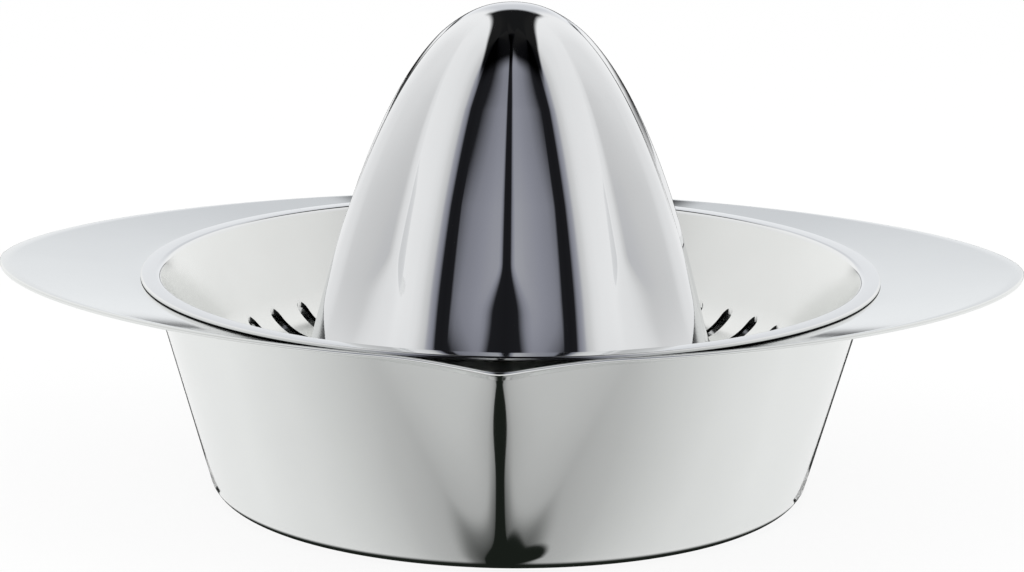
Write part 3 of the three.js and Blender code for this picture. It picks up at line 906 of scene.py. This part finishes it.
def painted_shade_material(name, marks, fade, keel=False):
    """Painted shade: dark as marks of turn and cover say, fading out between two distances from the piece's
    origin.
    """
    material = bare_material(name)
    tree = material.node_tree
    turn = bearings(tree)[0]
    place = add_node(tree, "ShaderNodeTexCoord").outputs["Object"]
    reach = add_node(tree, "ShaderNodeVectorMath", {0: place}, operation="LENGTH").outputs["Value"]
    cover = colour_by_turn(tree, turn, [(degrees, (share, share, share)) for degrees, share in marks])
    if keel:
        cover = keel_cover(tree, cover, turn, reach)
    clear = add_node(tree, "ShaderNodeBsdfTransparent").outputs[0]
    share = product(tree, cover, map_range(tree, reach, fade, (1, 0)))
    return show(material, mix_shader(tree, share, clear, glow(tree, SHADE_COLOUR)))


def stage_mesh(name, points, faces, material):
    mesh = bpy.data.meshes.new(name)
    mesh.from_pydata(points, [], faces)
    mesh.materials.append(material)
    obj = bpy.data.objects.new(name, mesh)
    bpy.context.scene.collection.objects.link(obj)
    return obj


def reflected_mesh(name, points, faces, material):
    """Stage piece that only reflections show."""
    obj = stage_mesh(name, points, faces, material)
    obj.visible_camera = False
    obj.visible_shadow = False
    obj.visible_diffuse = False
    return obj


def square(half):
    return [(-half, -half, 0), (half, -half, 0), (half, half, 0), (-half, half, 0)]


def tent():
    points, faces = [], []
    for i in range(TENT_RINGS + 1):
        climb = math.radians(lerp(TENT_LOW_CLIMB, 90, i / TENT_RINGS))
        out, up = TENT_RADIUS * math.cos(climb), TENT_RADIUS * math.sin(climb)
        for j in range(TENT_SEGMENTS):
            turn = TURN * j / TENT_SEGMENTS
            points.append((out * math.sin(turn), out * math.cos(turn), up))
    for i in range(TENT_RINGS):
        low, high = i * TENT_SEGMENTS, (i + 1) * TENT_SEGMENTS
        for j in range(TENT_SEGMENTS):
            k = (j + 1) % TENT_SEGMENTS
            faces.append((low + j, low + k, high + k, high + j))
    reflected_mesh("light_tent", points, faces, tent_cloth())


def sector(name, reach, half_angle, apex, lift, material):
    """Flat ring sector round the object's axis, whose own origin is a point in front of the axis."""
    points, faces = [], []
    for k in range(SECTOR_STEPS + 1):
        turn = math.radians(lerp(-half_angle, half_angle, k / SECTOR_STEPS))
        for radius in reach:
            points.append((radius * math.sin(turn), apex - radius * math.cos(turn), 0))
    for k in range(SECTOR_STEPS):
        faces.append((2 * k, 2 * k + 1, 2 * k + 3, 2 * k + 2))
    shade = reflected_mesh(name, points, faces, material)
    shade.location = (0, -apex, lift)


def foot_shade():
    """Small dark ellipse on the floor in front of the keel's foot: painted shade that shows only in
    reflections.
    """
    painted_shade = painted_shade_material("foot_painted_shade", ALL_ROUND, FOOT_SHADE_FADE_SHARES)
    shade = reflected_mesh("foot_shade", square(FOOT_SHADE_CARD_SHARE), [(0, 1, 2, 3)], painted_shade)
    shade.location = FOOT_SHADE_PLACE
    shade.rotation_euler.z = FOOT_SHADE_TURN
    shade.scale = (*FOOT_SHADE_HALVES, 1)


def side_shades():
    """Painted shadow: dark sheets on the floor behind the bowl on its left and right, which line its edges
    in the reflections.
    """
    painted_shade = bare_material("side_painted_shadow")
    show(painted_shade, glow(painted_shade.node_tree, SIDE_SHADE_COLOUR))
    for side, name in ((-1, "side_shade_left"), (1, "side_shade_right")):
        points = [(x * side, y, STAGE_LIFT) for x, y in SIDE_SHADE]
        reflected_mesh(name, points, [tuple(range(len(points)))], painted_shade)


def studio_world():
    world = bpy.data.worlds.new("studio")
    bpy.context.scene.world = world
    world.use_nodes = True
    tree = world.node_tree
    sky = tree.nodes["Background"]
    sky.inputs["Color"].default_value = (1, 1, 1, 1)
    level = math_node(tree, "MULTIPLY_ADD", seen_rays(tree), WORLD_SEEN_EXTRA, WORLD_LEVEL)
    tree.links.new(level, sky.inputs["Strength"])


def soft_lamp(name, place):
    data = bpy.data.lights.new(name, "AREA")
    data.shape = "SQUARE"
    data.size = LAMP_SIZE
    data.energy = LAMP_POWER
    lamp = bpy.data.objects.new(name, data)
    bpy.context.scene.collection.objects.link(lamp)
    lamp.location = place
    lamp.rotation_euler = (Vector(LAMP_TARGET) - Vector(place)).to_track_quat("-Z", "Y").to_euler()
    lamp.visible_camera = False
    lamp.visible_glossy = False


stage_mesh("floor", square(FLOOR_HALF), [(0, 1, 2, 3)], pale_floor())
tent()
# Painted shade on the floor in front of the bowl and under its spout, seen only in reflections
sector("front_shade", FRONT_SHADE_REACH, FRONT_SHADE_HALF_ANGLE, FRONT_SHADE_APEX, STAGE_LIFT,
       painted_shade_material("front_shade", FRONT_SHADE_MARKS, FRONT_SHADE_FADE, keel=True))
# Painted contact shadow round the bowl's foot, seen only in reflections
sector("contact_shade", CONTACT_SHADE_REACH, HALF_TURN, 0, CONTACT_SHADE_LIFT,
       painted_shade_material("contact_shade", ALL_ROUND, CONTACT_SHADE_FADE))
foot_shade()
side_shades()
studio_world()
lamp_aside, lamp_ahead, lamp_up = LAMP_PLACE
soft_lamp("key_left", (-lamp_aside, lamp_ahead, lamp_up))
soft_lamp("key_right", (lamp_aside, lamp_ahead, lamp_up))

# Camera
camera_data = bpy.data.cameras.new("camera")
camera_data.lens = CAMERA_LENS
camera_data.sensor_width = CAMERA_SENSOR_WIDTH
camera_data.shift_x, camera_data.shift_y = CAMERA_SHIFT
camera = bpy.data.objects.new("camera", camera_data)
bpy.context.scene.collection.objects.link(camera)
camera.location = CAMERA_PLACE
look = (Matrix.Rotation(CAMERA_TURN, 3, "Z")
        @ Matrix.Rotation(math.pi / 2 - CAMERA_DIP, 3, "X")
        @ Matrix.Rotation(CAMERA_ROLL, 3, "Z"))
camera.rotation_euler = look.to_euler()
bpy.context.scene.camera = camera
bpy.context.scene.view_settings.view_transform = "Standard"
